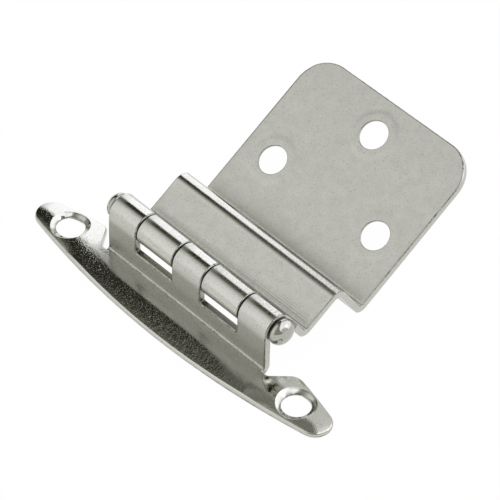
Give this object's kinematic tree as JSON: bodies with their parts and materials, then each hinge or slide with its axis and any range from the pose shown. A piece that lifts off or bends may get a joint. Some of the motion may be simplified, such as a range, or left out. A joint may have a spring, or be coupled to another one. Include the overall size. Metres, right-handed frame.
{
  "type": "surface mount cabinet hinge",
  "caption": "Folded sheet hinge for a lipped cabinet door: a boat-shaped frame leaf and a stepped door leaf turn on a headed pin through interleaved knuckles.",
  "frame": {"origin": "midway between the frame leaf's two screw holes, in the plane of its flat rim, which lies on the cabinet frame", "axes": "+X along the pin towards its small round button, +Y towards the door side, +Z out of the cabinet frame's front"},
  "size_m": [0.0702, 0.0561, 0.0174],
  "materials": {
    "plated_frame_leaf": "bright nickel plate with a fine orange-peel grain",
    "plated_door_leaf": "satin nickel plate",
    "plated_pin": "bright nickel plate"
  },
  "bodies": {
    "frame": {"frame_leaf": "plated_frame_leaf", "hinge_pin": "plated_pin"},
    "door": {"door_leaf": "plated_door_leaf"}
  },
  "joints": [
    {"name": "door_swing", "type": "hinge", "parent": "frame", "child": "door", "pos_m": [0, 0.00382, 0.0091], "axis": [1, 0, 0], "range_deg": [-32.2, 147.8]}
  ]
}
